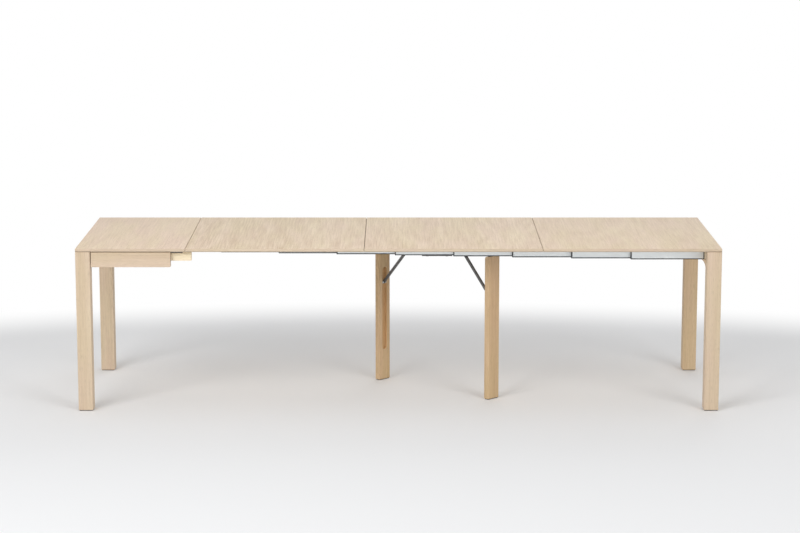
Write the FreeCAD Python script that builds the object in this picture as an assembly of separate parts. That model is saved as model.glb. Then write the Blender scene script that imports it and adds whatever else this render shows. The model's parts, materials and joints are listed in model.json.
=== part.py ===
import FreeCAD, Part
import math
import os

# Extendable console table, drawn fully extended. Millimetres, +Z up, X along the table, front at -Y.
# The origin is on the floor under the middle of the extended table.

# Table top
TABLE_HEIGHT = 750.0
TABLE_DEPTH = 900.0
TOP_THICKNESS = 15.0
CLOSED_LENGTH = 496.0
LEAF_LENGTH = 807.0
LEAF_COUNT = 3
LEAF_GAP = 2.2
LIP_GAP = 0.3
LIP_DROP = 6.0
LIP_RISE = 2.0
TOP_EASE = 1.0
SEAT_CLEARANCE = 0.2

# End legs and feet
LEG_WIDTH = 66.0
LEG_EASE = 1.5
FOOT_HEIGHT = 4.0
FOOT_INSET = 3.0
FOOT_EASE = 1.0

# Aprons of the two ends
APRON_HEIGHT = 67.5
APRON_GAP = 2.5
APRON_END_GAP = 3.5
APRON_THICKNESS = 22.0
APRON_SETBACK = 5.0
APRON_CORNER = 5.0
END_APRON_HEIGHT = 54.0
END_APRON_SETBACK = 6.0
CROSS_APRON_THICKNESS = 25.0
CROSS_APRON_GAP = 5.0
RIGHT_CROSS_INSET = 2.5
CLOSING_GAP = 0.5
CORNER_BLOCK = 36.0
GUSSET_REACH = 18.0
GUSSET_HEIGHT = 40.0
GUSSET_WIDTH = 14.0
GUSSET_HOLLOW = 4.4
GUSSET_DROP = 43.0

# Bearers under the first seam and their keepers
BEARER_OUT = 93.0
BEARER_LENGTH = 300.0
BEARER_THICKNESS = 22.0
BEARER_HEIGHT = 44.0
BEARER_PLAY = 0.4
BEARER_LEAD = 13.0
BEARER_RELIEF = 2.5
KEEPER_WALL = 12.0
KEEPER_LENGTH = 200.0
KEEPER_END_GAP = 20.0

# Telescopic slides: members side by side, each hooked into the channel of the one in front of it
STEP_COUNT = 9
SLIDE_HEIGHT = 55.0
SLIDE_DEPTH = 26.0
LANE_GAP = 1.0
FIRST_LANE = 125.0
SLIDE_WALL = 3.0
HEAD_THICKNESS = 6.0
HEAD_HEIGHT = 36.0
NECK_HEIGHT = 16.0
HEAD_PLAY = 0.5
GUIDE_PLAY = 0.2
GUIDE_THICKNESS = 4.5
GLIDE_LENGTH = 12.0
STRIP_HEIGHT = 4.5
STRIP_DEPTH = 2.0
MEMBER_END_GAP = 0.5

# Folding centre legs on the carrier of the middle member pair
CARRIER_THICKNESS = 3.0
CARRIER_RISE = 0.8
CARRIER_BAND = 140.0
CARRIER_ARM = 330.0
CARRIER_ARM_WIDTH = 60.0
SCREW_RADIUS = 3.0
SCREW_HEAD_RADIUS = 6.0
SCREW_HEAD_HEIGHT = 2.5
SCREW_OFFSET = 45.0
SCREW_FIT = 0.1
FOLD_ANGLE = 45.0
LEG_SPREAD = 509.0
LEG_LANE_OFFSET = 1.0
CENTRE_OFFSET = 27.0
CENTRE_LEG_THICKNESS = 28.0
CENTRE_LEG_WIDTH = 71.0
CENTRE_LEG_GAP = 1.0
TONGUE_THICKNESS = 14.0
TONGUE_WIDTH = 20.0
TONGUE_PLAY = 0.4
PIN_RADIUS = 4.0
PIN_COVER = 8.0
PIN_FIT = 0.05

# Strut of a centre leg and the slot that its roller runs in
STRUT_OFFSET = 183.0
STRUT_RISE = 8.0
STRUT_ANCHOR = 184.0
STRUT_RADIUS = 6.0
STRUT_EASE = 3.5
STRUT_THICKNESS = 8.0
STRUT_PIN_RADIUS = 3.0
SLOT_WIDTH = 30.0
SLOT_FLOOR = 1.0
SLOT_START = 110.0
SLOT_END = 511.0
ROLLER_RADIUS = 6.0
ROLLER_PLAY = 2.0
EAR_THICKNESS = 4.0
EAR_PLAY = 0.3

# Edges nearer than this to a plane count as lying in it
TOUCH = 0.01

# Places worked out from the sizes above
TABLE_LENGTH = CLOSED_LENGTH + LEAF_COUNT * LEAF_LENGTH
LEFT = -TABLE_LENGTH / 2
RIGHT = TABLE_LENGTH / 2
FRONT = -TABLE_DEPTH / 2
UNDERSIDE = TABLE_HEIGHT - TOP_THICKNESS
SEAT = UNDERSIDE - SEAT_CLEARANCE
TRAVEL = TABLE_LENGTH - CLOSED_LENGTH
BOX_END = LEFT + CLOSED_LENGTH - LEG_WIDTH - CLOSING_GAP
LEFT_CROSS = LEFT + LEG_WIDTH + CROSS_APRON_GAP
SLIDE_START = LEFT_CROSS + CROSS_APRON_THICKNESS
RIGHT_CROSS = RIGHT - LEG_WIDTH + RIGHT_CROSS_INSET
MEMBER_LENGTH = RIGHT_CROSS - TRAVEL - SLIDE_START
STEP = TRAVEL / STEP_COUNT
MEMBERS = STEP_COUNT + 1
CARRIER_STAGE = MEMBERS // 2
LANE_PITCH = SLIDE_DEPTH + LANE_GAP
SLIDE_MIDDLE = SEAT - SLIDE_HEIGHT / 2
SLIDE_BOTTOM = SEAT - SLIDE_HEIGHT
HEAD_BACK = SLIDE_DEPTH - SLIDE_WALL - HEAD_PLAY - LANE_PITCH
HEAD_FRONT = HEAD_BACK - HEAD_THICKNESS
CARRIER_TOP = SLIDE_BOTTOM - CARRIER_RISE
CARRIER_UNDER = CARRIER_TOP - CARRIER_THICKNESS
CENTRE_LEG_TOP = CARRIER_UNDER - CENTRE_LEG_GAP
PIN_HEIGHT = CENTRE_LEG_TOP - CENTRE_LEG_THICKNESS / 2
ROLLER_SPAN = SLOT_WIDTH - 2 * ROLLER_PLAY
STRUT_LENGTH = math.hypot(STRUT_OFFSET - STRUT_RISE, STRUT_ANCHOR + STRUT_RISE)


def vec(x, y, z):
    return FreeCAD.Vector(x, y, z)


def block(x0, x1, y0, y1, z0, z1):
    return Part.makeBox(x1 - x0, y1 - y0, z1 - z0, vec(x0, y0, z0))


def prism(points, direction):
    face = Part.Face(Part.makePolygon(points + points[:1]))
    return face.extrude(direction)


def mirrored(shape):
    return shape.mirror(vec(0, 0, 0), vec(0, 1, 0))


def both_sides(shape):
    return [shape, mirrored(shape)]


def eased(shape, size, wanted):
    edges = [edge for edge in shape.Edges if wanted(edge)]
    return shape.makeChamfer(size, edges)


def runs_along(edge, axis):
    along = edge.tangentAt(edge.FirstParameter)
    return along.cross(axis).Length < TOUCH


def is_level(edge):
    return edge.BoundBox.ZLength < TOUCH


def save(name, solids):
    shape = solids[0] if len(solids) == 1 else Part.makeCompound(solids)
    shape.exportStep(os.path.join("parts", name + ".step"))


def top_board(x0, x1):
    board = block(x0, x1, FRONT, -FRONT, UNDERSIDE, TABLE_HEIGHT)
    return eased(board, TOP_EASE, is_level)


def leaf_board(x0, x1):
    # a board with a low lip on its left edge that closes the seam from below
    reach = LEAF_GAP - LIP_GAP
    side = FRONT + TOP_EASE
    lip = block(x0 - reach, x0, side, -side, UNDERSIDE + LIP_RISE, TABLE_HEIGHT - LIP_DROP)
    return top_board(x0, x1).fuse(lip).removeSplitter()


def make_top():
    seam = LEFT + CLOSED_LENGTH
    save("top_panel", [top_board(LEFT, seam - LEAF_GAP / 2)])
    for leaf in range(LEAF_COUNT):
        start = seam + leaf * LEAF_LENGTH
        last = leaf == LEAF_COUNT - 1
        end = RIGHT if last else start + LEAF_LENGTH - LEAF_GAP / 2
        save("leaf_" + str(leaf + 2), [leaf_board(start + LEAF_GAP / 2, end)])


def foot(x0, x1, y0, y1):
    # a thin glide pad under a leg with these sides, eased where it meets the floor
    pad = block(x0 + FOOT_INSET, x1 - FOOT_INSET, y0 + FOOT_INSET, y1 - FOOT_INSET, 0, FOOT_HEIGHT)
    return eased(pad, FOOT_EASE, lambda edge: edge.BoundBox.ZMax < TOUCH)


def end_leg(x0, top):
    leg = block(x0, x0 + LEG_WIDTH, FRONT, FRONT + LEG_WIDTH, FOOT_HEIGHT, top)
    return eased(leg, LEG_EASE, lambda edge: runs_along(edge, vec(0, 0, 1)))


def make_end_legs():
    for side, x0, top in (("left", LEFT, UNDERSIDE), ("right", RIGHT - LEG_WIDTH, SEAT)):
        leg = end_leg(x0, top)
        save("leg_front_" + side, [leg])
        save("leg_rear_" + side, [mirrored(leg)])
        pad = foot(x0, x0 + LEG_WIDTH, FRONT, FRONT + LEG_WIDTH)
        save("foot_glides_" + side, both_sides(pad))


def make_aprons():
    # long aprons only on the fixed box, with shadow gaps at the top and the leg and a rounded free corner
    inner = FRONT + APRON_SETBACK
    top = UNDERSIDE - APRON_GAP
    start = LEFT + LEG_WIDTH + APRON_END_GAP
    apron = block(start, BOX_END, inner, inner + APRON_THICKNESS, top - APRON_HEIGHT, top)
    corner = [
        edge
        for edge in apron.Edges
        if runs_along(edge, vec(0, 1, 0))
        and edge.BoundBox.XMin > BOX_END - TOUCH
        and edge.BoundBox.ZMax < top - TOUCH
    ]
    apron = apron.makeFillet(APRON_CORNER, corner)
    save("apron_front", [apron])
    save("apron_rear", [mirrored(apron)])

    low = UNDERSIDE - END_APRON_HEIGHT
    side = FRONT + LEG_WIDTH
    outer = LEFT + END_APRON_SETBACK
    save("apron_left_end", [block(outer, outer + APRON_THICKNESS, side, -side, low, UNDERSIDE)])
    outer = RIGHT - END_APRON_SETBACK
    save("apron_right_end", [block(outer - APRON_THICKNESS, outer, side, -side, low, SEAT)])

    reach = inner + APRON_THICKNESS
    save("cross_apron_left", [block(LEFT_CROSS, SLIDE_START, reach, -reach, low, UNDERSIDE)])
    end = RIGHT_CROSS + CROSS_APRON_THICKNESS
    save("cross_apron_right", [block(RIGHT_CROSS, end, side, -side, low, SEAT)])

    # glue blocks in the corners between the left end apron and the legs
    x0 = LEFT + END_APRON_SETBACK + APRON_THICKNESS
    points = [vec(x0, side, low), vec(x0 + CORNER_BLOCK, side, low), vec(x0, side + CORNER_BLOCK, low)]
    save("corner_blocks", both_sides(prism(points, vec(0, 0, END_APRON_HEIGHT))))


def make_gussets():
    # hollow brackets at the back edge of the right legs, clear of the bearers when the table is closed
    face = RIGHT - LEG_WIDTH
    top = SEAT - GUSSET_DROP
    y0 = FRONT + LEG_WIDTH - LEG_EASE - GUSSET_WIDTH
    tip = vec(face - GUSSET_REACH, y0, top)
    root = vec(face, y0, top - GUSSET_HEIGHT)
    chord = math.hypot(GUSSET_REACH, GUSSET_HEIGHT)
    inward = vec(GUSSET_HEIGHT, 0, GUSSET_REACH) * (GUSSET_HOLLOW / chord)
    bow = (tip + root) * 0.5 + inward
    wire = Part.Wire(
        [
            Part.LineSegment(vec(face, y0, top), tip).toShape(),
            Part.Arc(tip, bow, root).toShape(),
            Part.LineSegment(root, vec(face, y0, top)).toShape(),
        ]
    )
    gusset = Part.Face(wire).extrude(vec(0, GUSSET_WIDTH, 0))
    save("leg_gussets", both_sides(gusset))


def make_bearers():
    tip = BOX_END + BEARER_OUT
    y0 = FRONT + APRON_SETBACK + APRON_THICKNESS + BEARER_PLAY
    y1 = y0 + BEARER_THICKNESS
    low = SEAT - BEARER_HEIGHT
    bearer = block(tip - BEARER_LENGTH, tip, y0, y1, low, SEAT)
    # only the tip carries the leaf; the rest is lower, so that it runs free under the fixed top
    lead = LEFT + CLOSED_LENGTH - BEARER_LEAD
    bearer = bearer.cut(block(tip - BEARER_LENGTH, lead, y0, y1, SEAT - BEARER_RELIEF, SEAT))
    bearer = eased(bearer, LEG_EASE, lambda edge: edge.BoundBox.XMin > tip - TOUCH)
    save("bearers", both_sides(bearer))

    # each keeper is an angle that boxes its bearer in against the apron
    x1 = BOX_END - KEEPER_END_GAP
    x0 = x1 - KEEPER_LENGTH
    wall = y1 + BEARER_PLAY
    floor = low - BEARER_PLAY
    back = FRONT + APRON_SETBACK + APRON_THICKNESS
    outline = [
        vec(x0, back, floor - KEEPER_WALL),
        vec(x0, wall + KEEPER_WALL, floor - KEEPER_WALL),
        vec(x0, wall + KEEPER_WALL, UNDERSIDE),
        vec(x0, wall, UNDERSIDE),
        vec(x0, wall, floor),
        vec(x0, back, floor),
    ]
    save("bearer_keepers", both_sides(prism(outline, vec(KEEPER_LENGTH, 0, 0))))


def lane_front(member):
    return FRONT + FIRST_LANE + (member - 1) * LANE_PITCH


def member_start(member):
    return SLIDE_START + (MEMBERS - member) * STEP


def bar(member, x0, x1, depth0, depth1, half_height):
    # a straight bar in a member's lane; depths are counted from the lane's front face
    y0 = lane_front(member)
    z0 = SLIDE_MIDDLE - half_height
    return block(x0, x1, y0 + depth0, y0 + depth1, z0, SLIDE_MIDDLE + half_height)


def channel(member, x0, x1, play):
    # the room that the next member's head and neck need in this member's back
    head0 = HEAD_FRONT + LANE_PITCH - play
    head1 = HEAD_BACK + LANE_PITCH + play
    head = bar(member, x0, x1, head0, head1, HEAD_HEIGHT / 2 + play)
    mouth = bar(member, x0, x1, head1 - play, SLIDE_DEPTH, NECK_HEIGHT / 2 + play)
    return head.fuse(mouth)


def hook(member, x0, x1, swell):
    # the T-shaped head and neck on a member's front, swollen where it is a nylon glide
    head0 = HEAD_FRONT - swell
    head1 = HEAD_BACK + swell
    head = bar(member, x0, x1, head0, head1, HEAD_HEIGHT / 2 + swell)
    neck = bar(member, x0, x1, head1 - swell, 0, NECK_HEIGHT / 2 + swell)
    return head.fuse(neck)


def strip_room(member, x0, x1):
    # the corner under a member's front face that holds its nylon wear strip
    y0 = lane_front(member)
    return block(x0, x1, y0, y0 + STRIP_DEPTH, SLIDE_BOTTOM, SLIDE_BOTTOM + STRIP_HEIGHT)


def bare_ends(member):
    # where a member's metal starts and stops, between its nylon end pieces
    start = member_start(member)
    end = start + MEMBER_LENGTH
    first = start if member == MEMBERS else start + MEMBER_END_GAP + GUIDE_THICKNESS
    last = end - GUIDE_THICKNESS if member == 1 else end - MEMBER_END_GAP
    return first, last


def glide_ends(member):
    # a member's tail glide lies just behind the end guide of the member in front, which stops it there
    start = bare_ends(member - 1)[0]
    return start, start + GLIDE_LENGTH


def carrier_middle():
    return member_start(CARRIER_STAGE) + MEMBER_LENGTH / 2 + CENTRE_OFFSET


def carrier_screw_points():
    middle = carrier_middle()
    y = lane_front(CARRIER_STAGE) + SLIDE_DEPTH / 2 - SLIDE_WALL * 2
    return [(middle + side * SCREW_OFFSET, y) for side in (-1, 1)]


def slide_member(member):
    first, last = bare_ends(member)
    solid = bar(member, first, last, 0, SLIDE_DEPTH, SLIDE_HEIGHT / 2)
    hollow_back = HEAD_FRONT + LANE_PITCH - HEAD_PLAY - SLIDE_WALL
    hollow = bar(member, first, last, SLIDE_WALL, hollow_back, SLIDE_HEIGHT / 2 - SLIDE_WALL)
    solid = solid.cut(hollow).cut(channel(member, first, last, HEAD_PLAY))
    solid = solid.cut(strip_room(member, first, last))
    if member > 1:
        glide_start, glide_end = glide_ends(member)
        solid = solid.fuse(hook(member, first, glide_start, 0))
        solid = solid.fuse(hook(member, glide_end, last, 0)).removeSplitter()
    if member == CARRIER_STAGE:
        for x, y in carrier_screw_points():
            depth = SLIDE_WALL * 2
            hole = Part.makeCylinder(SCREW_RADIUS + SCREW_FIT, depth, vec(x, y, SLIDE_BOTTOM - SLIDE_WALL))
            solid = solid.cut(hole)
    return solid


def slide_guides(member):
    # nylon: a wear strip under the front face, an end guide at the left of each moving member,
    # a tail glide on its head, and an end pad where the pull-out member meets its cross apron
    first, last = bare_ends(member)
    pieces = [strip_room(member, first, last)]
    if member < MEMBERS:
        outer = first - GUIDE_THICKNESS
        end_guide = bar(member, outer, first, 0, SLIDE_DEPTH, SLIDE_HEIGHT / 2)
        end_guide = end_guide.cut(channel(member, outer, first, GUIDE_PLAY))
        if member > 1:
            end_guide = end_guide.fuse(hook(member, outer, first, 0)).removeSplitter()
        pieces.append(end_guide)
    if member > 1:
        glide_start, glide_end = glide_ends(member)
        pieces.append(hook(member, glide_start, glide_end, HEAD_PLAY - GUIDE_PLAY).removeSplitter())
    else:
        end = last + GUIDE_THICKNESS
        end_pad = bar(member, last, end, 0, SLIDE_DEPTH, SLIDE_HEIGHT / 2)
        pieces.append(end_pad.cut(channel(member, last, end, HEAD_PLAY)))
    return pieces


def make_slides():
    for member in range(1, MEMBERS + 1):
        stage = MEMBERS - member
        save("slide_pair_" + str(stage), both_sides(slide_member(member)))
        guides = slide_guides(member)
        save("slide_guides_" + str(stage), [side for piece in guides for side in both_sides(piece)])


def leg_places():
    # centre leg 1 stands rear left and folds to the front right; leg 2 is its half-turn twin
    x = LEG_SPREAD / 2
    y = -(lane_front(CARRIER_STAGE) + SLIDE_DEPTH / 2) - LEG_LANE_OFFSET
    middle = carrier_middle()
    return {"1": (middle - x, y, -FOLD_ANGLE), "2": (middle + x, -y, 180 - FOLD_ANGLE)}


def placed(shape, place):
    # from the leg's own frame, with its fold along +X and the pin over the origin, to the table's
    x, y, angle = place
    moved = shape.copy()
    moved.rotate(vec(0, 0, 0), vec(0, 0, 1), angle)
    moved.translate(vec(x, y, 0))
    return moved


def cross_pin(x, z, radius, span):
    return Part.makeCylinder(radius, span, vec(x, -span / 2, z), vec(0, 1, 0))


def strut_pivot():
    return STRUT_OFFSET, PIN_HEIGHT + STRUT_RISE


def strut_foot():
    return STRUT_RISE, PIN_HEIGHT - STRUT_ANCHOR


def centre_leg():
    # square at the top outside, rounded about the pin on the side that turns up under the carrier
    half = CENTRE_LEG_THICKNESS / 2
    wide = CENTRE_LEG_WIDTH / 2
    leg = block(-half, half, -wide, wide, FOOT_HEIGHT, CENTRE_LEG_TOP)
    leg = eased(leg, LEG_EASE, lambda edge: runs_along(edge, vec(0, 0, 1)))
    corner = block(0, half, -wide, wide, PIN_HEIGHT, CENTRE_LEG_TOP)
    leg = leg.cut(corner.cut(cross_pin(0, PIN_HEIGHT, half, CENTRE_LEG_WIDTH)))
    leg = leg.cut(cross_pin(0, PIN_HEIGHT, PIN_RADIUS + PIN_FIT, CENTRE_LEG_WIDTH - 2 * PIN_COVER))
    # notch that the hinge tongue stands in, open at the top and towards the fold
    back = TONGUE_THICKNESS / 2 + TONGUE_PLAY
    side = TONGUE_WIDTH / 2 + TONGUE_PLAY
    leg = leg.cut(block(-back, half + LEG_EASE, -side, side, PIN_HEIGHT - back, CENTRE_LEG_TOP + LEG_EASE))
    # routed slot with round ends in the face towards the fold
    radius = SLOT_WIDTH / 2
    high = PIN_HEIGHT - SLOT_START - radius
    low = PIN_HEIGHT - SLOT_END + radius
    depth = half - SLOT_FLOOR + LEG_EASE
    slot = block(SLOT_FLOOR, SLOT_FLOOR + depth, -radius, radius, low, high)
    for z in (low, high):
        slot = slot.fuse(Part.makeCylinder(radius, depth, vec(SLOT_FLOOR, 0, z), vec(1, 0, 0)))
    return leg.cut(slot.removeSplitter())


def hinge_bracket():
    # a thick steel tongue with a round end, welded under the carrier
    half = TONGUE_THICKNESS / 2
    wide = TONGUE_WIDTH / 2
    tongue = block(-half, half, -wide, wide, PIN_HEIGHT, CARRIER_UNDER)
    tongue = tongue.fuse(cross_pin(0, PIN_HEIGHT, half, TONGUE_WIDTH)).removeSplitter()
    return tongue.cut(cross_pin(0, PIN_HEIGHT, PIN_RADIUS + PIN_FIT, TONGUE_WIDTH + LEG_EASE))


def strut_clevis():
    x, z = strut_pivot()
    inner = STRUT_THICKNESS / 2 + EAR_PLAY
    low = z - STRUT_RADIUS
    ear = block(x - STRUT_RADIUS, x + STRUT_RADIUS, inner, inner + EAR_THICKNESS, low, CARRIER_UNDER)
    ear = eased(ear, STRUT_EASE, lambda edge: runs_along(edge, vec(0, 1, 0)) and edge.BoundBox.ZMax < z)
    ear = ear.cut(cross_pin(x, z, STRUT_PIN_RADIUS + PIN_FIT, SLOT_WIDTH))
    return both_sides(ear)


def strut():
    # a flat bar with trimmed corners, drawn level from its pivot and then turned down to the slot
    x, z = strut_pivot()
    across = STRUT_THICKNESS / 2
    start = x - STRUT_LENGTH - STRUT_RADIUS
    rod = block(start, x + STRUT_RADIUS, -across, across, z - STRUT_RADIUS, z + STRUT_RADIUS)
    rod = eased(rod, STRUT_EASE, lambda edge: runs_along(edge, vec(0, 1, 0)))
    for eye in (x - STRUT_LENGTH, x):
        rod = rod.cut(cross_pin(eye, z, STRUT_PIN_RADIUS + PIN_FIT, SLOT_WIDTH))
    foot_x, foot_z = strut_foot()
    dip = math.degrees(math.atan2(z - foot_z, x - foot_x))
    rod.rotate(vec(x, 0, z), vec(0, 1, 0), -dip)
    return rod


def strut_rollers():
    x, z = strut_foot()
    inner = STRUT_THICKNESS / 2 + EAR_PLAY
    roller = Part.makeCylinder(ROLLER_RADIUS, ROLLER_SPAN / 2 - inner, vec(x, inner, z), vec(0, 1, 0))
    roller = roller.cut(cross_pin(x, z, STRUT_PIN_RADIUS + PIN_FIT, SLOT_WIDTH))
    return both_sides(roller)


def leg_carrier():
    # a flat steel band across the middle member pair, with one arm along each leg's fold
    middle = carrier_middle()
    band_x0 = middle - CARRIER_BAND / 2
    lane = lane_front(CARRIER_STAGE)
    plate = block(band_x0, band_x0 + CARRIER_BAND, lane, -lane, CARRIER_UNDER, CARRIER_TOP)
    tail = CENTRE_LEG_THICKNESS / 2
    half = CARRIER_ARM_WIDTH / 2
    arm = block(-tail, CARRIER_ARM, -half, half, CARRIER_UNDER, CARRIER_TOP)
    for place in leg_places().values():
        plate = plate.fuse(placed(arm, place))
    # raised seats keep the plate clear of the members that slide over it
    seat_back = lane + SLIDE_DEPTH
    seat = block(band_x0, band_x0 + CARRIER_BAND, lane, seat_back, CARRIER_TOP, SLIDE_BOTTOM)
    for pad in both_sides(seat):
        plate = plate.fuse(pad)
    plate = plate.removeSplitter()
    for x, y in carrier_screw_points():
        hole = Part.makeCylinder(SCREW_RADIUS + SCREW_FIT, TABLE_HEIGHT, vec(x, y, 0))
        for cutter in both_sides(hole):
            plate = plate.cut(cutter)
    return plate


def carrier_screws():
    # low hexagon heads under the carrier, shanks up into the members' bottom walls
    screws = []
    length = SLIDE_BOTTOM + SLIDE_WALL - CARRIER_UNDER
    low = CARRIER_UNDER - SCREW_HEAD_HEIGHT
    turns = [math.radians(60 * corner) for corner in range(6)]
    hexagon = [vec(math.cos(turn), math.sin(turn), 0) * SCREW_HEAD_RADIUS for turn in turns]
    for x, y in carrier_screw_points():
        head = prism([corner + vec(x, y, low) for corner in hexagon], vec(0, 0, SCREW_HEAD_HEIGHT))
        shank = Part.makeCylinder(SCREW_RADIUS, length, vec(x, y, CARRIER_UNDER))
        screws += both_sides(shank.fuse(head))
    return screws


def make_centre_legs():
    save("leg_carrier", [leg_carrier()])
    save("carrier_screws", carrier_screws())
    hinge_pin = cross_pin(0, PIN_HEIGHT, PIN_RADIUS, CENTRE_LEG_WIDTH - 2 * (PIN_COVER + PIN_FIT))
    x, z = strut_pivot()
    ear_span = STRUT_THICKNESS + 2 * (EAR_PLAY + EAR_THICKNESS)
    clevis_pin = cross_pin(x, z, STRUT_PIN_RADIUS, ear_span)
    foot_x, foot_z = strut_foot()
    roller_pin = cross_pin(foot_x, foot_z, STRUT_PIN_RADIUS, ROLLER_SPAN)
    half = CENTRE_LEG_THICKNESS / 2
    wide = CENTRE_LEG_WIDTH / 2
    pad = foot(-half, half, -wide, wide)
    places = leg_places()
    save("hinge_pins", [placed(hinge_pin, place) for place in places.values()])
    save("clevis_pins", [placed(clevis_pin, place) for place in places.values()])
    for name, place in places.items():
        save("centre_leg_" + name, [placed(centre_leg(), place)])
        save("centre_foot_" + name, [placed(pad, place)])
        save("hinge_bracket_" + name, [placed(hinge_bracket(), place)])
        save("strut_clevis_" + name, [placed(ear, place) for ear in strut_clevis()])
        save("strut_" + name, [placed(strut(), place)])
        save("strut_rollers_" + name, [placed(roller, place) for roller in strut_rollers()])
        save("roller_pin_" + name, [placed(roller_pin, place)])


os.makedirs("parts", exist_ok=True)
make_top()
make_end_legs()
make_aprons()
make_gussets()
make_bearers()
make_slides()
make_centre_legs()
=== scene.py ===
import bmesh
import bpy
import json
import math
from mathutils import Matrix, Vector


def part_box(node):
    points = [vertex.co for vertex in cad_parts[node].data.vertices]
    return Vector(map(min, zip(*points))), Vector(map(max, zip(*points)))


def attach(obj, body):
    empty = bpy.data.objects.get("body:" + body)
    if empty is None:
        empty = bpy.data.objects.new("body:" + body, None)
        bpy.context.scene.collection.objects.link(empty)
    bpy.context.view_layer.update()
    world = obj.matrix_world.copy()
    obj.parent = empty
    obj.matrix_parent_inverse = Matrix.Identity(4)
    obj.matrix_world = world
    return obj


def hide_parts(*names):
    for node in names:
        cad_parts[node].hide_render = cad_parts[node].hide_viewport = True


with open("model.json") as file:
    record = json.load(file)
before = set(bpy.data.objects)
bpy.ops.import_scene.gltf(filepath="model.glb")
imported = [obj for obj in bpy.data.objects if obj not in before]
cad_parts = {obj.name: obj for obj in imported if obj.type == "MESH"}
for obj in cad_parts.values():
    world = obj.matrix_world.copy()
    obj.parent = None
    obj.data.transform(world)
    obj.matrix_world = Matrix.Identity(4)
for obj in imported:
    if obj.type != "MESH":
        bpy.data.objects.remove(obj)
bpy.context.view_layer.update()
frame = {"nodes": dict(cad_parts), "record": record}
record = frame["record"]
bodyOfNode = {node: body for body, nodes in record["behaviour"]["bodies"].items() for node in nodes}
print("frame loaded:", len(bodyOfNode), "nodes")


def addObject(name, data):
    made = bpy.data.objects.new(name, data)
    bpy.context.scene.collection.objects.link(made)
    return made


# camera: stands square to the front edge, well back and high, tipped down to the table
cameraSetup = {
    "place": (0.0, -10.916, 2.560),  # metres
    "tipDown": 10.24,  # degrees
    "lens": 106.1,  # millimetres, as is the sensor
    "sensor": 36.0,
    "shiftX": 0.0018,
    "clipEnd": 200.0,
}


def makeCamera(setup):
    data = bpy.data.cameras.new("studioCamera")
    data.lens = setup["lens"]
    data.sensor_width = setup["sensor"]
    data.shift_x = setup["shiftX"]
    data.clip_end = setup["clipEnd"]
    camera = addObject("studioCamera", data)
    camera.location = setup["place"]
    camera.rotation_euler = (math.radians(90 - setup["tipDown"]), 0, 0)
    bpy.context.scene.camera = camera


makeCamera(cameraSetup)
print("camera set")


# node helpers
def newMaterial(name):
    material = bpy.data.materials.new(name)
    material.use_nodes = True
    tree = material.node_tree
    shader = next(node for node in tree.nodes if node.type == "BSDF_PRINCIPLED")
    return material, tree, shader


def addNode(tree, kind, **settings):
    node = tree.nodes.new(kind)
    for key, value in settings.items():
        setattr(node, key, value)
    return node


def mapped(tree, scale, shift=(0, 0, 0)):
    coords = addNode(tree, "ShaderNodeTexCoord")
    mapping = addNode(tree, "ShaderNodeMapping")
    mapping.inputs["Scale"].default_value = scale
    mapping.inputs["Location"].default_value = shift
    tree.links.new(coords.outputs["Object"], mapping.inputs["Vector"])
    return mapping.outputs["Vector"]


def noise(tree, vector, detail=3.0, rough=0.5, distortion=0.0):
    node = addNode(tree, "ShaderNodeTexNoise")
    node.inputs["Scale"].default_value = 1.0  # the mapping alone sets the scale
    node.inputs["Detail"].default_value = detail
    node.inputs["Roughness"].default_value = rough
    node.inputs["Distortion"].default_value = distortion
    tree.links.new(vector, node.inputs["Vector"])
    return node.outputs["Fac"]


def ramp(tree, value, stops):
    node = addNode(tree, "ShaderNodeValToRGB")
    band = node.color_ramp
    while len(band.elements) < len(stops):
        band.elements.new(0.5)
    for element, (place, colour) in zip(band.elements, stops):
        element.position = place
        element.color = (*colour, 1.0)
    tree.links.new(value, node.inputs["Fac"])
    return node.outputs["Color"]


def grey(level):
    return (level, level, level)


noiseSpan = (0.3, 0.7)  # nearly all of a noise lies between these


def spread(tree, value, dark, light):
    return ramp(tree, value, list(zip(noiseSpan, (dark, light))))


def math2(tree, operation, first, second=0.0):
    node = addNode(tree, "ShaderNodeMath", operation=operation)
    for socket, value in zip(node.inputs, (first, second)):
        if isinstance(value, (int, float)):
            socket.default_value = value
        else:
            tree.links.new(value, socket)
    return node.outputs["Value"]


def multiplyColour(tree, factor, first, second):
    node = addNode(tree, "ShaderNodeMix", data_type="RGBA", blend_type="MULTIPLY")
    node.inputs["Factor"].default_value = factor
    tree.links.new(first, node.inputs[6])  # 6 and 7 are the two colours, 2 is the mixed one
    tree.links.new(second, node.inputs[7])
    return node.outputs[2]


def roughen(tree, shader, value, levels):
    smooth, matt = levels
    tree.links.new(spread(tree, value, grey(smooth), grey(matt)), shader.inputs["Roughness"])


def addBump(tree, shader, height, strength, distance):
    bump = addNode(tree, "ShaderNodeBump")
    bump.inputs["Strength"].default_value = strength
    bump.inputs["Distance"].default_value = distance
    tree.links.new(height, bump.inputs["Height"])
    tree.links.new(bump.outputs["Normal"], shader.inputs["Normal"])


def seenRays(tree, *kinds):
    path = addNode(tree, "ShaderNodeLightPath")
    seen = path.outputs["Is Camera Ray"]
    for kind in kinds:
        seen = math2(tree, "MAXIMUM", seen, path.outputs[kind])
    return seen


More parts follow.
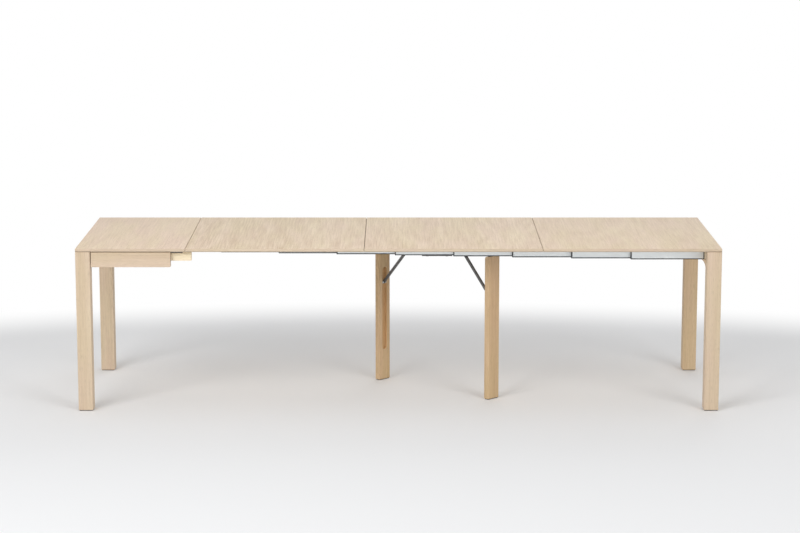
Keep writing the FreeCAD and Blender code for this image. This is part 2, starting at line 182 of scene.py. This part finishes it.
# oak: fibres, fine lines, growth-ring contours and open pores, all drawn out along the grain
oakTones = {
    "panel": {"light": (0.807, 0.663, 0.529), "dark": (0.671, 0.523, 0.395)},
    "leaf": {"light": (0.818, 0.683, 0.536), "dark": (0.590, 0.451, 0.312)},
    "endLeaf": {"light": (0.790, 0.654, 0.508), "dark": (0.618, 0.480, 0.340)},
    "edge": {"light": (0.710, 0.590, 0.470), "dark": (0.600, 0.472, 0.352)},
    # chamfer under the board edges: a darker copy of the edge oak, painted shade
    "underEdgeShade": {"light": (0.505, 0.412, 0.318), "dark": (0.425, 0.330, 0.238)},
    "leg": {"light": (0.710, 0.573, 0.440), "dark": (0.600, 0.464, 0.332)},
    "warmLeg": {"light": (0.696, 0.526, 0.357), "dark": (0.588, 0.426, 0.269)},
    # centre legs: a darker, warmer copy of the leg oak, painted shade under the table
    "centre": {"light": (0.705, 0.518, 0.325), "dark": (0.550, 0.374, 0.212)},
    # routed slot: warmer and slightly darker than the centre oak, painted shade in the recess
    "slot": {"light": (0.740, 0.490, 0.262), "dark": (0.590, 0.370, 0.185)},
    # free end faces of the long aprons: dark end grain, darkened further as painted shade
    "endGrainAndShade": {"light": (0.330, 0.235, 0.150), "dark": (0.250, 0.170, 0.105)},
    # near-black for the seam lip and the bearers' lowered floor: painted shade in the gaps
    "seam": {"light": (0.130, 0.092, 0.060), "dark": (0.090, 0.060, 0.038)},
    "birch": {"light": (0.920, 0.800, 0.600), "dark": (0.850, 0.715, 0.500)},
}

# layers that every wood has: scales across and along the grain, then stops, shares and relief
oakLayers = {
    "fibre": (620, 6),
    "pores": (980, 34),
    "patch": (11, 2.0),
    "fieldBend": 0.15,
    "poreStops": [(0.30, grey(0.70)), (0.42, grey(1.0))],
    "poreShare": 0.60,
    "tintStops": [(0.36, (1.0, 0.978, 0.984)), (0.64, (0.988, 1.0, 0.938))],
    "tintShare": 1.0,
    "rough": (0.50, 0.62),
    "poreDepth": 1.4,
    "bump": (0.35, 0.00025),  # strength, and distance in metres
    "seedStep": (3.1, 1.7, 2.3),
}

# figure of the grain: scales across and along it, each layer's share, and where dark and light lie
oakFigures = {
    "solid": {
        "line": (170, 4.0),
        "band": (30, 0.35),
        "field": (5.2, 0.20),
        "lineShare": 0.50,
        "fibreShare": 0.28,
        "bandShare": 0.22,
        "ringShare": 0.045,
        "darkAt": 0.34,
        "lightAt": 0.66,
    },
    "veneer": {
        "line": (150, 5.0),
        "band": (9, 0.8),
        "field": (4, 0.6),
        "lineShare": 0.64,
        "fibreShare": 0.18,
        "bandShare": 0.20,
        "ringShare": 0.025,
        "darkAt": 0.35,
        "lightAt": 0.65,
    },
}


def alongGrain(axis, across, along):
    scale = [across, across, across]
    scale["xyz".index(axis)] = along
    return tuple(scale)


def makeOak(name, tone, axis, seed, figure="solid", ringPull=9.0, gloss=0.30):
    material, tree, shader = newMaterial(name)
    look = {**oakLayers, **oakFigures[figure]}
    tones = oakTones[tone]
    shift = tuple(seed * step for step in look["seedStep"])

    def layer(key, **settings):
        return noise(tree, mapped(tree, alongGrain(axis, *look[key]), shift), **settings)

    fibre = layer("fibre", detail=2.0, rough=0.6)
    line = layer("line", rough=0.65)
    band = layer("band", rough=0.6)
    field = layer("field", detail=1.0, distortion=look["fieldBend"])
    pores = layer("pores", detail=1.0)
    patch = layer("patch", detail=2.0)
    rings = math2(tree, "SINE", math2(tree, "MULTIPLY", field, ringPull * math.tau))
    grain = math2(tree, "MULTIPLY", line, look["lineShare"])
    for value, share in ((fibre, "fibreShare"), (band, "bandShare"), (rings, "ringShare")):
        grain = math2(tree, "ADD", grain, math2(tree, "MULTIPLY", value, look[share]))
    colour = ramp(tree, grain, [(look["darkAt"], tones["dark"]), (look["lightAt"], tones["light"])])
    colour = multiplyColour(tree, look["poreShare"], colour, ramp(tree, pores, look["poreStops"]))
    colour = multiplyColour(tree, look["tintShare"], colour, ramp(tree, patch, look["tintStops"]))
    tree.links.new(colour, shader.inputs["Base Color"])
    roughen(tree, shader, line, look["rough"])
    relief = math2(tree, "ADD", fibre, math2(tree, "MULTIPLY", pores, look["poreDepth"]))
    addBump(tree, shader, relief, *look["bump"])
    shader.inputs["Specular IOR Level"].default_value = gloss
    return material


# aluminium: fine lines along the slides under a faint cloud
aluminiumLook = {
    "lines": (2.0, 900, 900),
    "cloud": (9, 40, 40),
    "lineShare": 0.6,
    "cloudShare": 0.4,
    "dark": (0.770, 0.812, 0.830),
    "light": (0.865, 0.905, 0.923),
    "rough": (0.40, 0.52),
    "metallic": 0.75,
    "bump": (0.25, 0.0001),
}


def makeAluminium(name, look):
    material, tree, shader = newMaterial(name)
    lines = noise(tree, mapped(tree, look["lines"]), detail=2.0, rough=0.6)
    cloud = noise(tree, mapped(tree, look["cloud"]))
    lineTone = math2(tree, "MULTIPLY", lines, look["lineShare"])
    cloudTone = math2(tree, "MULTIPLY", cloud, look["cloudShare"])
    tone = math2(tree, "ADD", lineTone, cloudTone)
    tree.links.new(spread(tree, tone, look["dark"], look["light"]), shader.inputs["Base Color"])
    roughen(tree, shader, lines, look["rough"])
    shader.inputs["Metallic"].default_value = look["metallic"]
    addBump(tree, shader, lines, *look["bump"])
    return material


# steel: a spangle in the colour and a fine grit in the gloss
steelLook = {
    "spangle": (130, 130, 130),
    "fine": (1500, 1500, 1500),
    "bump": (0.2, 0.00006),
}


def makeSteel(name, dark, light, rough, metallic):
    material, tree, shader = newMaterial(name)
    spangle = noise(tree, mapped(tree, steelLook["spangle"]), rough=0.65)
    fine = noise(tree, mapped(tree, steelLook["fine"]), detail=1.0)
    tree.links.new(spread(tree, spangle, dark, light), shader.inputs["Base Color"])
    roughen(tree, shader, fine, rough)
    shader.inputs["Metallic"].default_value = metallic
    addBump(tree, shader, fine, *steelLook["bump"])
    return material


# nylon and plastic: a cloud in the colour and a moulded spark
nylonLook = {
    "cloud": (60, 60, 60),
    "spark": (2200, 2200, 2200),
    "rough": (0.48, 0.62),
    "bump": (0.25, 0.00008),
}


def makeNylon(name, dark, light):
    material, tree, shader = newMaterial(name)
    cloud = noise(tree, mapped(tree, nylonLook["cloud"]))
    spark = noise(tree, mapped(tree, nylonLook["spark"]), detail=1.0)
    tree.links.new(spread(tree, cloud, dark, light), shader.inputs["Base Color"])
    roughen(tree, shader, spark, nylonLook["rough"])
    addBump(tree, shader, spark, *nylonLook["bump"])
    return material


finish = {
    "panelVeneer": makeOak("oakPanelVeneer", "panel", "y", 1.0, "veneer"),
    "leafVeneer2": makeOak("oakLeafVeneer2", "leaf", "y", 1.2, "veneer"),
    "leafVeneer3": makeOak("oakLeafVeneer3", "leaf", "y", 1.4, "veneer"),
    "leafVeneer4": makeOak("oakLeafVeneer4", "endLeaf", "y", 1.6, "veneer"),
    "longBand": makeOak("oakEdgeBand", "edge", "x", 2.0),
    "crossBand": makeOak("oakCrossBand", "edge", "y", 2.5),
    "underShadeBand": makeOak("oakUnderShadeBand", "underEdgeShade", "x", 2.2),
    "legOak": makeOak("oakLeg", "leg", "z", 3.0, ringPull=6.0),
    "warmLegOak": makeOak("oakWarmLeg", "warmLeg", "z", 3.5, ringPull=6.0),
    "apronOak": makeOak("oakApron", "leg", "x", 4.0),
    "apronEndAndShade": makeOak("oakApronEndAndShade", "endGrainAndShade", "y", 4.5),
    "endApronOak": makeOak("oakEndApron", "leg", "y", 5.0),
    "centreShadeOak": makeOak("oakCentreLegShade", "centre", "z", 6.0, ringPull=6.0),
    "slotShadeOak": makeOak("oakSlotShade", "slot", "z", 6.5, ringPull=6.0),
    "paintedSeamShade": makeOak("oakPaintedSeamShade", "seam", "y", 9.0, gloss=0.0),
    "birchLong": makeOak("birchAlong", "birch", "x", 7.0, ringPull=4.0),
    "birchCross": makeOak("birchAcross", "birch", "y", 8.0, ringPull=4.0),
    "aluminium": makeAluminium("satinAluminium", aluminiumLook),
    "zinc": makeSteel("zincSteel", (0.42, 0.43, 0.44), (0.60, 0.61, 0.62), (0.34, 0.46), 0.9),
    "pin": makeSteel("brightPin", (0.55, 0.55, 0.55), (0.70, 0.70, 0.70), (0.24, 0.34), 1.0),
    "darkSteel": makeSteel("darkStrut", (0.122, 0.121, 0.121), (0.172, 0.170, 0.169), (0.40, 0.52), 0.3),
    "nylon": makeNylon("darkNylon", (0.026, 0.027, 0.030), (0.048, 0.049, 0.053)),
    "foot": makeNylon("footPlastic", (0.045, 0.040, 0.036), (0.075, 0.068, 0.060)),
    "roller": makeNylon("paleNylon", (0.62, 0.62, 0.60), (0.74, 0.74, 0.72)),
}
print("finishes made:", len(finish))

# meshes: turns in degrees, lengths in metres
meshSetup = {
    "smoothTurn": 21.0,  # edges that turn less are shaded smooth
    "sharpTurn": 40.0,  # edges that turn more are eased
    "flatTurn": 0.6,  # faces that turn less are joined
    "mergeReach": 0.000005,
}


def addPiece(name, shape, finishes, node):
    mesh = bpy.data.meshes.new(name)
    shape.to_mesh(mesh)
    shape.free()
    for key in finishes:
        mesh.materials.append(finish[key])
    mesh.shade_smooth()
    mesh.set_sharp_from_angle(angle=math.radians(meshSetup["smoothTurn"]))
    piece = addObject(name, mesh)
    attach(piece, bodyOfNode[node])
    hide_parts(node)


def mergedCopy(node):
    shape = bmesh.new()
    shape.from_mesh(frame["nodes"][node].data)
    bmesh.ops.remove_doubles(shape, verts=shape.verts[:], dist=meshSetup["mergeReach"])
    bmesh.ops.dissolve_limit(
        shape,
        angle_limit=math.radians(meshSetup["flatTurn"]),
        verts=shape.verts[:],
        edges=shape.edges[:],
        use_dissolve_boundaries=False,
    )
    return shape


def bevelEdges(shape, edges, width, segments):
    bmesh.ops.bevel(
        shape,
        geom=edges,
        offset=width,
        offset_type="OFFSET",
        segments=segments,
        profile=0.5,
        affect="EDGES",
        clamp_overlap=True,
        material=-1,
    )


def softenEdges(shape, width, segments):
    limit = math.radians(meshSetup["sharpTurn"])
    edges = [e for e in shape.edges if len(e.link_faces) == 2 and e.calc_face_angle() > limit]
    bevelEdges(shape, edges, width, segments)


# table boards: veneered faces, banded edges, a small chamfer under the long edges in a darker oak as
# painted shade, eased all round;
# a leaf has a low lip in the seam at its left, painted near-black as painted shade in the seam
boardLook = {
    "veneer": {
        "top_panel": "panelVeneer",
        "leaf_2": "leafVeneer2",
        "leaf_3": "leafVeneer3",
        "leaf_4": "leafVeneer4",
    },
    "lipped": ["leaf_2", "leaf_3", "leaf_4"],
    "lipReach": 0.0019,
    "lipRise": 0.0045,
    "lipDrop": 0.006,
    "ease": 0.0010,
    "segments": 3,
    "edgeTurn": 0.7,
    "underCut": 0.0035,
    "underTurn": 0.6,
}


def addBlock(shape, low, high):
    made = bmesh.ops.create_cube(shape, size=1.0)
    bmesh.ops.scale(shape, vec=high - low, verts=made["verts"])
    bmesh.ops.translate(shape, vec=(low + high) / 2, verts=made["verts"])
    return {face for vert in made["verts"] for face in vert.link_faces}


def cutUnder(shape, level, width):
    edges = []
    for edge in shape.edges:
        first, second = [vert.co for vert in edge.verts]
        if max(first.z, second.z) < level + width and abs(first.x - second.x) > width:
            edges.append(edge)
    bevelEdges(shape, edges, width, segments=1)


def makeBoard(node, look):
    low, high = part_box(node)
    reach = look["lipReach"] if node in look["lipped"] else 0.0
    ease = look["ease"]
    finishes = [look["veneer"][node], "longBand", "crossBand", "paintedSeamShade", "underShadeBand"]
    shape = bmesh.new()
    addBlock(shape, low + Vector((reach, 0, 0)), high)
    cutUnder(shape, low.z, look["underCut"])
    softenEdges(shape, ease, look["segments"])
    shape.normal_update()
    for face in shape.faces:
        # the chamfer faces under the long edges take the darker under band: painted shade
        if min(abs(face.normal.y), -face.normal.z) > look["underTurn"]:
            face.material_index = finishes.index("underShadeBand")
        elif abs(face.normal.x) > look["edgeTurn"]:
            face.material_index = finishes.index("crossBand")
        elif abs(face.normal.y) > look["edgeTurn"]:
            face.material_index = finishes.index("longBand")
    if reach:
        lipLow = low + Vector((0, ease, look["lipRise"]))
        lipHigh = Vector((low.x + reach, high.y - ease, high.z - look["lipDrop"]))
        # the lip is painted near-black: painted shade in the seam
        for face in addBlock(shape, lipLow, lipHigh):
            face.material_index = finishes.index("paintedSeamShade")
    addPiece(node + "Board", shape, finishes, node)


for node in boardLook["veneer"]:
    makeBoard(node, boardLook)
print("boards made")

# pieces that keep their drawn form and get softened edges: finish, edge width in metres, segments
softened = {
    "leg_front_left": ("legOak", 0.0006, 2),
    "leg_rear_left": ("legOak", 0.0006, 2),
    "leg_front_right": ("legOak", 0.0006, 2),
    "leg_rear_right": ("warmLegOak", 0.0006, 2),
    "apron_left_end": ("endApronOak", 0.0010, 2),
    "apron_right_end": ("endApronOak", 0.0010, 2),
    "leg_gussets": ("legOak", 0.0006, 2),
    "cross_apron_left": ("birchCross", 0.0010, 2),
    "cross_apron_right": ("birchCross", 0.0010, 2),
    "corner_blocks": ("birchCross", 0.0010, 2),
    "bearer_keepers": ("birchLong", 0.0010, 2),
    "leg_carrier": ("darkSteel", 0.0005, 2),
    "hinge_bracket_1": ("zinc", 0.0005, 2),
    "hinge_bracket_2": ("zinc", 0.0005, 2),
    "strut_clevis_1": ("darkSteel", 0.0004, 2),
    "strut_clevis_2": ("darkSteel", 0.0004, 2),
    "strut_1": ("darkSteel", 0.0008, 2),
    "strut_2": ("darkSteel", 0.0008, 2),
    "strut_rollers_1": ("roller", 0.0008, 2),
    "strut_rollers_2": ("roller", 0.0008, 2),
    "roller_pin_1": ("pin", 0.0004, 2),
    "roller_pin_2": ("pin", 0.0004, 2),
    "hinge_pins": ("pin", 0.0004, 2),
    "clevis_pins": ("pin", 0.0004, 2),
    "carrier_screws": ("pin", 0.0003, 2),
    "foot_glides_left": ("foot", 0.0006, 2),
    "foot_glides_right": ("foot", 0.0006, 2),
    "centre_foot_1": ("foot", 0.0006, 2),
    "centre_foot_2": ("foot", 0.0006, 2),
}
slideCount = sum(node.startswith("slide_pair_") for node in bodyOfNode)
for stage in range(slideCount):
    softened["slide_pair_" + str(stage)] = ("aluminium", 0.0004, 2)
    softened["slide_guides_" + str(stage)] = ("nylon", 0.0004, 1)
for node, (finishName, width, segments) in softened.items():
    shape = mergedCopy(node)
    softenEdges(shape, width, segments)
    addPiece(node + "Piece", shape, [finishName], node)
print("softened pieces made:", len(softened))

# long aprons: oak, with their free end faces painted dark, partly as darker end grain and partly as
# painted shade
apronLook = {
    "nodes": ["apron_front", "apron_rear"],
    "finishes": ["apronOak", "apronEndAndShade"],
    "ease": 0.0010,
    "segments": 2,
    "endTurn": 0.9,
}


def makeApron(node, look):
    shape = mergedCopy(node)
    softenEdges(shape, look["ease"], look["segments"])
    shape.normal_update()
    for face in shape.faces:
        # free end faces take the dark end oak: darker end grain and painted shade
        if face.normal.x > look["endTurn"]:
            face.material_index = look["finishes"].index("apronEndAndShade")
    addPiece(node + "Piece", shape, look["finishes"], node)


for node in apronLook["nodes"]:
    makeApron(node, apronLook)
print("aprons made")

# bearers: lowered behind the tip that carries the leaf, with the lowered floor painted near-black,
# so that a dark gap shows under the fixed top: painted shade
bearerLook = {
    "node": "bearers",
    "finishes": ["birchLong", "paintedSeamShade"],
    "ease": 0.0006,
    "segments": 2,
    "relief": 0.0025,
    "deepen": 0.0055,
    "slack": 0.0005,
    "upTurn": 0.9,
}


def makeBearers(look):
    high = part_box(look["node"])[1]
    shape = mergedCopy(look["node"])
    level = high.z - look["relief"]
    lowered = [vert for vert in shape.verts if abs(vert.co.z - level) < look["slack"]]
    bmesh.ops.translate(shape, vec=(0, 0, -look["deepen"]), verts=lowered)
    softenEdges(shape, look["ease"], look["segments"])
    shape.normal_update()
    # the lowered floor takes the near-black seam oak: painted shade in the gap under the fixed top
    floorLevel = level - look["deepen"]
    for face in shape.faces:
        onFloor = abs(face.calc_center_median().z - floorLevel) < look["slack"]
        if onFloor and face.normal.z > look["upTurn"]:
            face.material_index = look["finishes"].index("paintedSeamShade")
    addPiece(look["node"] + "Piece", shape, look["finishes"], look["node"])


makeBearers(bearerLook)
print("bearers made")

# folding centre legs: flat posts turned 45 degrees, in a darker, warmer oak than the end legs as painted
# shade under the table, with the routed slot for the strut's rollers in a warmer, slightly darker oak as
# painted shade in the recess
centreLegLook = {
    "nodes": ["centre_leg_1", "centre_leg_2"],
    "finishes": ["centreShadeOak", "slotShadeOak"],
    "ease": 0.0008,
    "segments": 2,
    "slotDepth": 0.0130,
    "slotReach": 0.0155,
    "footRoom": 0.02,
    "hingeRoom": 0.07,
}


def makeCentreLeg(node, look):
    low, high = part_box(node)
    middle = (low + high) / 2
    shape = mergedCopy(node)
    softenEdges(shape, look["ease"], look["segments"])
    for face in shape.faces:
        centre = face.calc_center_median()
        offset = centre - middle
        along = abs(offset.x - offset.y) / math.sqrt(2)
        across = abs(offset.x + offset.y) / math.sqrt(2)
        inSpan = low.z + look["footRoom"] < centre.z < high.z - look["hingeRoom"]
        # faces in the slot take the slot oak: painted shade in the recess
        if inSpan and along < look["slotDepth"] and across < look["slotReach"]:
            face.material_index = look["finishes"].index("slotShadeOak")
    addPiece(node + "Post", shape, look["finishes"], node)


for node in centreLegLook["nodes"]:
    makeCentreLeg(node, centreLegLook)
print("centre legs made")

# studio: pale floor that fades to white, soft lamps
floorSetup = {
    "size": 80.0,
    "colour": (0.855, 0.860, 0.870),
    "rough": 0.8,
    "gloss": 0.1,
    "fadeSquash": (0.62, 1.0, 1.0),
    "fadeShift": (0.0, 0.8, 0.0),
    "fadeStart": 2.25,
    "fadeEnd": 3.0,
}


def makeFloor(setup):
    shape = bmesh.new()
    bmesh.ops.create_grid(shape, x_segments=1, y_segments=1, size=setup["size"] / 2)
    mesh = bpy.data.meshes.new("studioFloor")
    shape.to_mesh(mesh)
    shape.free()
    material, tree, shader = newMaterial("paleFloor")
    place = mapped(tree, setup["fadeSquash"], setup["fadeShift"])
    reach = addNode(tree, "ShaderNodeVectorMath", operation="LENGTH")
    tree.links.new(place, reach.inputs[0])
    fade = addNode(tree, "ShaderNodeMapRange", interpolation_type="SMOOTHSTEP")
    fade.inputs["From Min"].default_value = setup["fadeStart"]
    fade.inputs["From Max"].default_value = setup["fadeEnd"]
    tree.links.new(reach.outputs["Value"], fade.inputs["Value"])
    shader.inputs["Base Color"].default_value = (*setup["colour"], 1.0)
    shader.inputs["Roughness"].default_value = setup["rough"]
    shader.inputs["Specular IOR Level"].default_value = setup["gloss"]
    # far from the table the floor shows plain white, as a backdrop would
    seen = seenRays(tree, "Is Glossy Ray")
    white = addNode(tree, "ShaderNodeEmission")
    blend = addNode(tree, "ShaderNodeMixShader")
    tree.links.new(math2(tree, "MULTIPLY", seen, fade.outputs["Result"]), blend.inputs["Fac"])
    tree.links.new(shader.outputs["BSDF"], blend.inputs[1])
    tree.links.new(white.outputs["Emission"], blend.inputs[2])
    # seen from below it is clear, so the underside can be looked at
    side = addNode(tree, "ShaderNodeNewGeometry")
    clear = addNode(tree, "ShaderNodeBsdfTransparent")
    oneSided = addNode(tree, "ShaderNodeMixShader")
    output = next(node for node in tree.nodes if node.type == "OUTPUT_MATERIAL")
    tree.links.new(side.outputs["Backfacing"], oneSided.inputs["Fac"])
    tree.links.new(blend.outputs["Shader"], oneSided.inputs[1])
    tree.links.new(clear.outputs["BSDF"], oneSided.inputs[2])
    tree.links.new(oneSided.outputs["Shader"], output.inputs["Surface"])
    mesh.materials.append(material)
    floor = addObject("studioFloor", mesh)


# places, aims and sizes in metres, power in watts
lampSetup = {
    "key": {"place": (-4.0, -6.0, 5.0), "aim": (0.0, 0.0, 0.5), "size": 4.0, "power": 268.0},
    "fill": {"place": (5.0, -7.0, 4.8), "aim": (0.0, 0.0, 0.4), "size": 4.0, "power": 215.0},
    "back": {"place": (1.5, 5.0, 4.5), "aim": (0.0, 0.0, 0.5), "size": 4.0, "power": 55.0},
    "above": {"place": (-1.0, -0.5, 5.5), "aim": (-0.5, 0.0, 0.7), "size": 5.0, "power": 25.0},
}
worldSetup = {"colour": (1.0, 1.0, 1.0), "strength": 0.50}


def makeLamps(setup):
    for name, lamp in setup.items():
        data = bpy.data.lights.new(name + "Lamp", "AREA")
        data.shape = "SQUARE"
        data.size = lamp["size"]
        data.energy = lamp["power"]
        lampObject = addObject(name + "Lamp", data)
        lampObject.location = lamp["place"]
        look = Vector(lamp["aim"]) - Vector(lamp["place"])
        lampObject.rotation_euler = look.to_track_quat("-Z", "Y").to_euler()


# the background shows plain white, and lights the table at its own strength
def makeWorld(setup):
    world = bpy.data.worlds.new("studioWorld")
    world.use_nodes = True
    tree = world.node_tree
    background = next(node for node in tree.nodes if node.type == "BACKGROUND")
    background.inputs["Color"].default_value = (*setup["colour"], 1.0)
    seen = seenRays(tree, "Is Glossy Ray", "Is Transmission Ray")
    lift = math2(tree, "MULTIPLY", seen, 1.0 - setup["strength"])
    tree.links.new(math2(tree, "ADD", lift, setup["strength"]), background.inputs["Strength"])
    bpy.context.scene.world = world


makeFloor(floorSetup)
makeLamps(lampSetup)
makeWorld(worldSetup)
bpy.context.scene.view_settings.view_transform = "Standard"
print("studio set")
